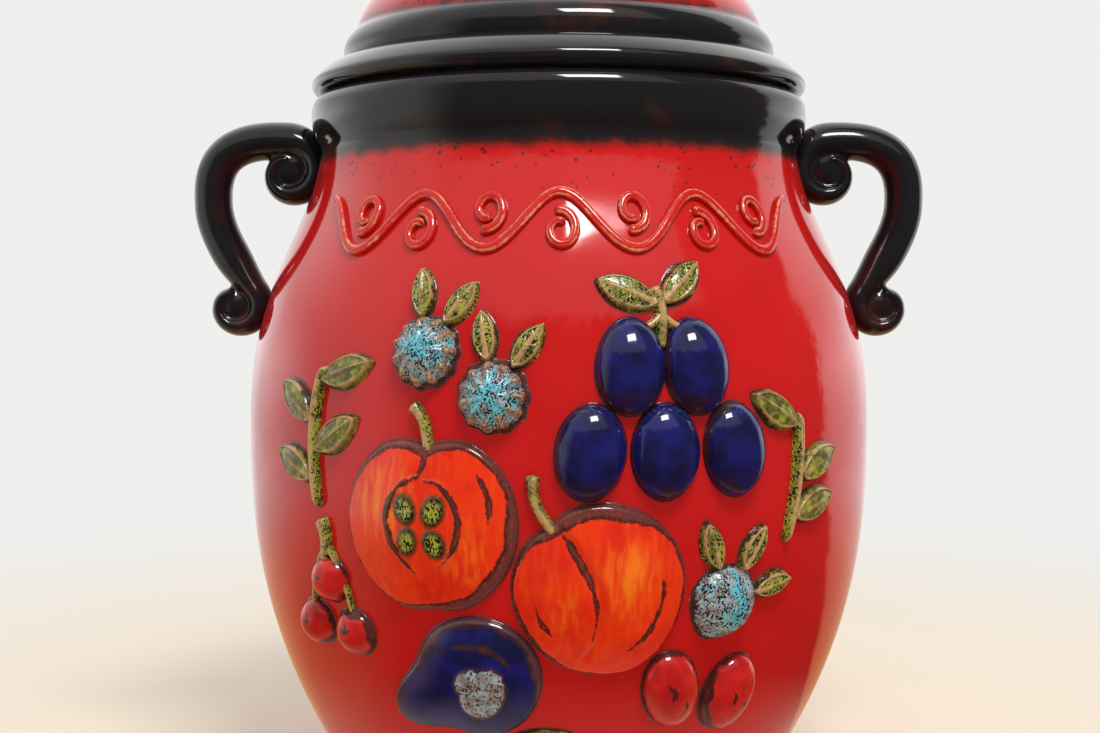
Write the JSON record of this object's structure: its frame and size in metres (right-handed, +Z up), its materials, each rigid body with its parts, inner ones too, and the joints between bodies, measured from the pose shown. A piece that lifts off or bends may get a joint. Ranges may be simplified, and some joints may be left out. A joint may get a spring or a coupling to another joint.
{
  "type": "rumtopf pot",
  "caption": "Lidded stoneware crock with an ovoid red belly, black collar and scroll handles, a domed knobbed lid and raised glazed fruit on the front.",
  "frame": {"origin": "middle of the foot ring, on the table", "axes": "+Z up along the crock's axis, front with the raised fruit facing -Y, handles along X"},
  "size_m": [0.2736, 0.2362, 0.339],
  "materials": {
    "red_glaze": "glossy",
    "black_glaze": "glossy",
    "relief_line": "glossy",
    "orange_glaze": "glossy",
    "cobalt_glaze": "glossy",
    "turquoise_glaze": "speckled",
    "berry_glaze": "glossy",
    "olive_glaze": "speckled"
  },
  "bodies": {
    "pot": {"pot_body": "red_glaze", "handle_left": "black_glaze", "handle_right": "black_glaze", "scroll_band": "relief_line", "apple_half": "orange_glaze", "apple_stalk": "olive_glaze", "peach": "orange_glaze", "peach_stalk": "olive_glaze", "fig": "cobalt_glaze", "fig_leaf": "olive_glaze", "damsons": "cobalt_glaze", "damson_stalk": "olive_glaze", "gooseberries": "turquoise_glaze", "gooseberry_leaves": "olive_glaze", "hazelnut": "turquoise_glaze", "hazelnut_husk": "olive_glaze", "cranberries": "berry_glaze", "cranberry_stalk": "olive_glaze", "rose_hips": "berry_glaze", "leaf_spray_left": "olive_glaze", "leaf_spray_right": "olive_glaze"},
    "lid": {"lid": "red_glaze", "lid_knob": "black_glaze"}
  },
  "joints": [
    {"name": "lid_lift", "type": "slide", "parent": "pot", "child": "lid", "axis": [0, 0, 1], "range_m": [0, 0.1]}
  ]
}
